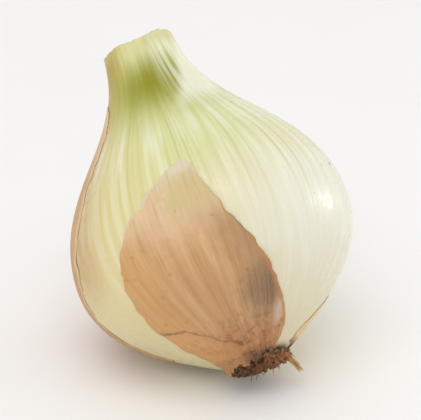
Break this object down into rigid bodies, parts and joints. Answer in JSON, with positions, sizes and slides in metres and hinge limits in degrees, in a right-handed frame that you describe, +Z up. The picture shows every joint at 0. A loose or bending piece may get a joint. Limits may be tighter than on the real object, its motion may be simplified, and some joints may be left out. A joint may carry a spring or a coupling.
{
  "type": "sweet onion",
  "caption": "Whole pale sweet onion with a cut green neck, scraps of brown dry skin and trimmed roots, lying on a small flat spot of its flank.",
  "frame": {"origin": "middle of the small flat spot on the lower flank that the onion rests on", "axes": "+Z up from the surface it rests on; the root end faces -Y (forward) and a little right, low down; the neck leans back (+Y) and to the left (-X), its axis 44 degrees from upright"},
  "size_m": [0.0791, 0.0832, 0.0861],
  "materials": {
    "bulb_flesh": "moist cream-white scale with fine yellow-green veins, olive green at the cut neck, satin gloss",
    "dry_skin": "thin papery dry skin, tan to brown, streaked along the bulb, slightly shiny",
    "root_plate": "corky brown plate, rough and matt",
    "roots": "dry trimmed roots, dark brown with tan ends, matt"
  },
  "bodies": {
    "root": {"bulb": "bulb_flesh", "dry_skin_front": "dry_skin", "dry_skin_back": "dry_skin", "dry_skin_scrap": "dry_skin", "basal_plate": "root_plate", "root_tuft": "roots"}
  },
  "joints": []
}
